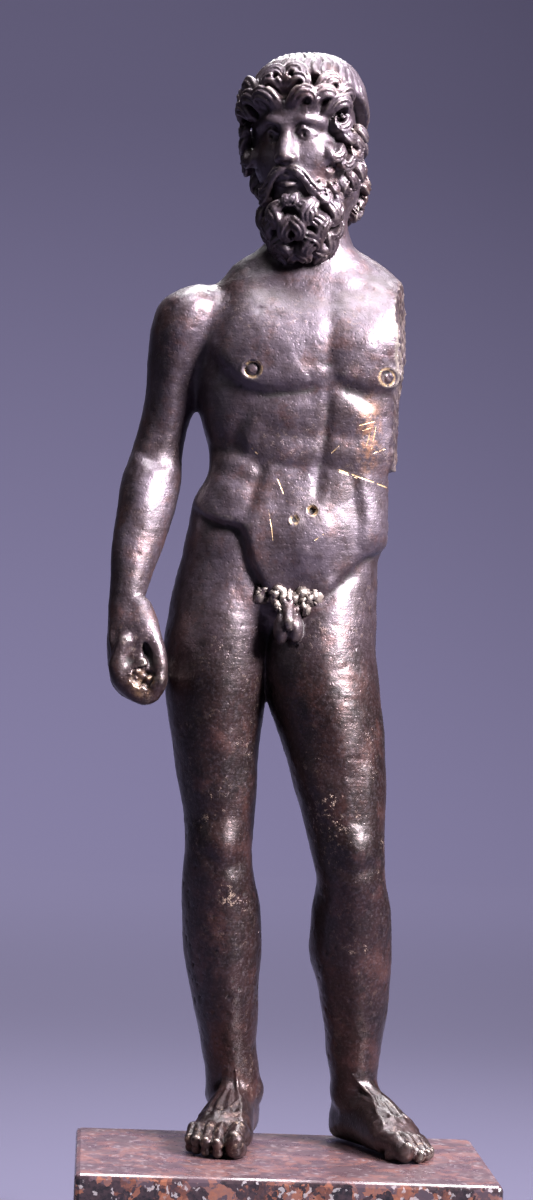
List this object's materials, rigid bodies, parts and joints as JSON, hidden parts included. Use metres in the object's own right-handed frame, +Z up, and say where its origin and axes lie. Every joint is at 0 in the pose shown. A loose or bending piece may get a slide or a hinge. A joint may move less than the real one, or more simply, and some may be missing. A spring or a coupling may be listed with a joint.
{
  "type": "standing bronze statuette on a stone block",
  "caption": "Cast bronze statuette of a nude bearded standing man, its left arm lost, on a small polished granite block.",
  "frame": {"origin": "middle of the granite block's underside", "axes": "+Z up, the figure faces -Y, and +X is the figure's own left side"},
  "size_m": [0.09, 0.062, 0.2708],
  "materials": {
    "bronze": "dark brown and purple-brown patinated cast bronze, softly polished on the high spots, pitted, scratched and worn golden in places",
    "granite": "polished red-brown, pink and black coarse-grained granite"
  },
  "bodies": {
    "root": {"figure": "bronze", "granite_block": "granite"}
  },
  "joints": []
}
